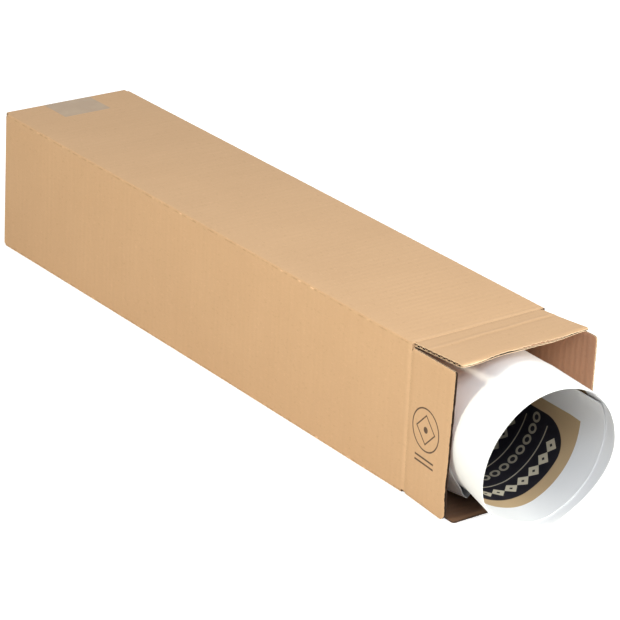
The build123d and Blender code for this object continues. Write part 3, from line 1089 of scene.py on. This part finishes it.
def printed_paper():
    """The sheet's inner side: a white margin round a tan ground with a dark rounded field,
    and rows of diamonds, rings and lines in off-white on its front. Each shape is a distance
    field in millimetres round the sheet and behind its front edge."""
    material, tree, shader = new_material("paper_print")
    around = mesh_mark(tree, "around")
    behind = mesh_mark(tree, "behind")

    def inside(value, low, high):
        """1 where value is between low and high, with a soft edge of a quarter millimetre."""
        rise = scaled(tree, less(tree, value, low), 1 / 0.25, 0.5, clamp=True)
        fall = scaled(tree, less(tree, high, value), 1 / 0.25, 0.5, clamp=True)
        return times(tree, rise, fall)

    def rounded(middle, half, radius):
        """1 inside a rectangle with rounded corners: its distance field, thresholded."""
        past = []
        for value, centre, reach in zip((around, behind), middle, half):
            off = math_node(tree, "ABSOLUTE", less(tree, value, centre))
            past.append(math_node(tree, "MAXIMUM", less(tree, off, reach - radius), 0.0))
        return scaled(tree, less(tree, radius, length_of(tree, *past)), 1 / 0.3, 0.5, clamp=True)

    def repeated(pitch):
        """Place within one step of a row, from its middle."""
        part = math_node(tree, "FRACT", times(tree, around, 1 / pitch))
        return times(tree, less(tree, part, 0.5), pitch)

    def painted(shown, mark, first, strength):
        """The mark painted on, from the first place round the sheet on."""
        share = times(tree, times(tree, mark, inside(around, first, marks_end)), strength)
        return mix_colour(tree, share, shown, paint)

    cloud = noise(tree, object_place(tree), 45.0, 4.0)
    tan = mix_colour(tree, cloud, colour(186, 157, 122), colour(204, 178, 142))
    navy = mix_colour(tree, cloud, colour(26, 25, 34), colour(36, 34, 42))
    paint = mix_colour(tree, cloud, colour(196, 186, 164), colour(216, 208, 190))
    ground = times(tree, inside(around, *tan_around), inside(behind, *tan_behind))
    shown = mix_colour(tree, ground, colour(246, 246, 249), tan)
    shown = mix_colour(tree, rounded(field_middle, field_half, field_corner), shown, navy)
    for row, size, pitch, first, strength in diamond_rows:
        wide = math_node(tree, "ABSOLUTE", repeated(pitch))
        tall = math_node(tree, "ABSOLUTE", less(tree, behind, row))
        diamond = inside(plus(tree, wide, tall), diamond_hole, size)
        shown = painted(shown, diamond, first, strength)
    ring = length_of(tree, repeated(ring_pitch), less(tree, behind, ring_row))
    shown = painted(shown, inside(ring, ring_inner, ring_outer), 52.0, 0.6)
    for row in line_rows:
        shown = painted(shown, inside(behind, row - line_half, row + line_half), 59.0, 0.75)
    tree.links.new(shown, shader.inputs["Base Color"])
    add_grain(tree, shader, 700.0, 2.0, 0.42, 0.3)
    return material


paper_back = plain_paper("paper_back", colour(250, 250, 251))
paper_edge = plain_paper("paper_edge", colour(253, 253, 253))
paper_finishes = [paper_back, printed_paper(), paper_edge]

# the front of the dark field is printed askew, furthest back at 300 mm round the sheet
askew_around, askew_behind = [39.0, 300.0, 400.0], [0.0, 19.0, 0.0]
wound_radius, tail_turn = 59.6, 78.0

# rows round the sheet, close together in its tail, and columns behind its front edge
tail_start = last_turn - tail_turn
tail = np.linspace(tail_start, last_turn, 50)
turns = np.append(np.arange(first_turn, tail_start, 3.2), tail)[:, None]
near_front = np.append([0.0, 0.4, 1.0], np.arange(2.5, 124, 3.0))
fronts = np.append(near_front, np.linspace(130, sheet_length, 26))[None, :]
wound = np.radians(turns - first_turn) * wound_radius + 0 * fronts
set_back = fronts + np.interp(wound, askew_around, askew_behind)
roll = slab(
    roll_points(turns, fronts, 0.0), roll_points(turns, fronts, paper), finish=(0, 1, 2),
    marks={"around": (wound, wound), "behind": (set_back, set_back)},
)
roll_piece = make_piece("rolled_sheet", [roll], paper_finishes)
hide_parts("rolled_print")
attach(roll_piece, "carton")

# Floor and light: a white sweep that keeps the soft shadow, a lamp from the left
# side of the mouth, soft ones overhead and beside the camera, and white surroundings.
floor_half, floor_drop = 9.0, 0.0004
floor_white, floor_lift, sky_light = 0.66, 0.8, 0.35


def seen_directly(tree):
    """Node output: 1 for rays that go to the camera, straight, mirrored or let through."""
    path = tree.nodes.new("ShaderNodeLightPath")
    seen = math_node(tree, "MAXIMUM", path.outputs["Is Camera Ray"], path.outputs["Is Glossy Ray"])
    return math_node(tree, "MAXIMUM", seen, path.outputs["Is Transmission Ray"])


def floor_material():
    """White floor: dull white that takes the shadow, lifted for the camera until the lit
    part is as white as the surroundings."""
    material, tree, shader = new_material("white_floor")
    shader.inputs["Base Color"].default_value = (floor_white, floor_white, floor_white, 1)
    shader.inputs["Roughness"].default_value = 0.9
    shader.inputs["Specular IOR Level"].default_value = 0.0
    lift = times(tree, seen_directly(tree), floor_lift)
    glow = node(tree, "ShaderNodeEmission", {"Color": (1, 1, 1, 1), "Strength": lift})
    both = node(tree, "ShaderNodeAddShader", {0: shader.outputs[0], 1: glow.outputs[0]})
    tree.links.new(both.outputs[0], tree.nodes["Material Output"].inputs["Surface"])
    return material


floor_corners = [
    (x * floor_half, y * floor_half, -floor_drop) for x, y in ((-1, -1), (1, -1), (1, 1), (-1, 1))
]
floor_mesh = bpy.data.meshes.new("floor")
floor_mesh.from_pydata(floor_corners, [], [(0, 1, 2, 3)])
floor_mesh.materials.append(floor_material())
floor = bpy.data.objects.new("floor", floor_mesh)
bpy.context.collection.objects.link(floor)


def area_lamp(name, size, power, place, target, tint):
    """Soft square lamp at a place, turned to its target."""
    data = bpy.data.lights.new(name, "AREA")
    data.shape = "SQUARE"
    data.size = size
    data.energy = power
    data.color = tint
    lamp = bpy.data.objects.new(name, data)
    lamp.location = place
    lamp.rotation_euler = (Vector(target) - lamp.location).to_track_quat("-Z", "Y").to_euler()
    bpy.context.collection.objects.link(lamp)


area_lamp("side_lamp", 0.22, 14.2, (-1.52, -0.21, 0.83), (-0.01, -0.37, 0.06), (1.0, 0.95, 0.76))
area_lamp("top_lamp", 0.9, 1.6, (-0.2, -0.5, 1.3), (0, -0.3, 0), (1, 1, 1))
area_lamp("front_lamp", 0.8, 21.0, (-0.5, -1.7, 1.5), aim, (0.87, 0.95, 1.0))
area_lamp("right_lamp", 0.8, 31.0, (0.7, -1.9, 0.6), aim, (0.99, 1.0, 0.9))

world = bpy.data.worlds.new("surroundings")
bpy.context.scene.world = world
world.use_nodes = True
sky = world.node_tree
background = sky.nodes["Background"]
background.inputs["Color"].default_value = (1, 1, 1, 1)
sky.links.new(math_node(sky, "MAXIMUM", seen_directly(sky), sky_light), background.inputs["Strength"])
